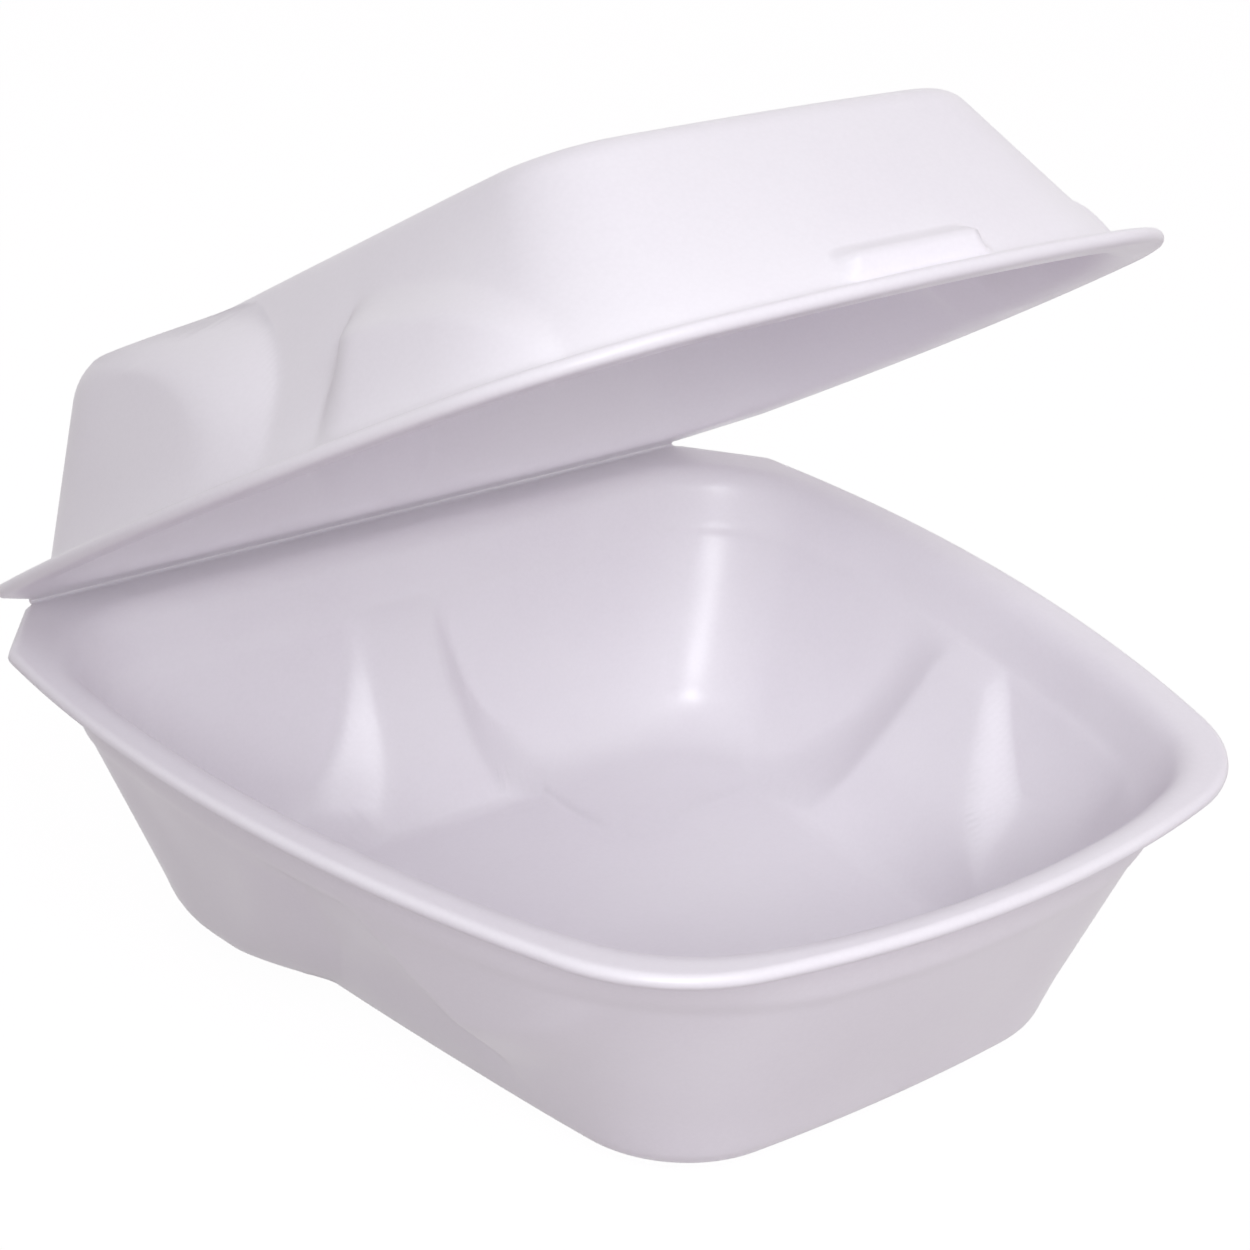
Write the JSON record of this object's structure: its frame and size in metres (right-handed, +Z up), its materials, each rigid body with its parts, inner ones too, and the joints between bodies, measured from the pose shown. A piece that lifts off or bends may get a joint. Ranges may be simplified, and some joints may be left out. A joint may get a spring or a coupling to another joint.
{
  "type": "hinged food container",
  "caption": "Square foam takeaway container with a deep tray, a domed hinged lid, lobed corners and a latch pocket on the lid's front.",
  "frame": {"origin": "middle of the tray's flat foot, on the surface that it stands on", "axes": "+Z up, the hinge along X at the back (+Y), the latch side towards -Y"},
  "size_m": [0.1548, 0.1542, 0.137],
  "materials": {
    "foam": "fine-grained white polystyrene foam with a slight sheen"
  },
  "bodies": {
    "tray": {"base_tray": "foam"},
    "lid": {"lid": "foam"}
  },
  "joints": [
    {"name": "lid_hinge", "type": "hinge", "parent": "tray", "child": "lid", "pos_m": [0, 0.0755, 0.04615], "axis": [-1, 0, 0], "range_deg": [-31, 149]}
  ]
}
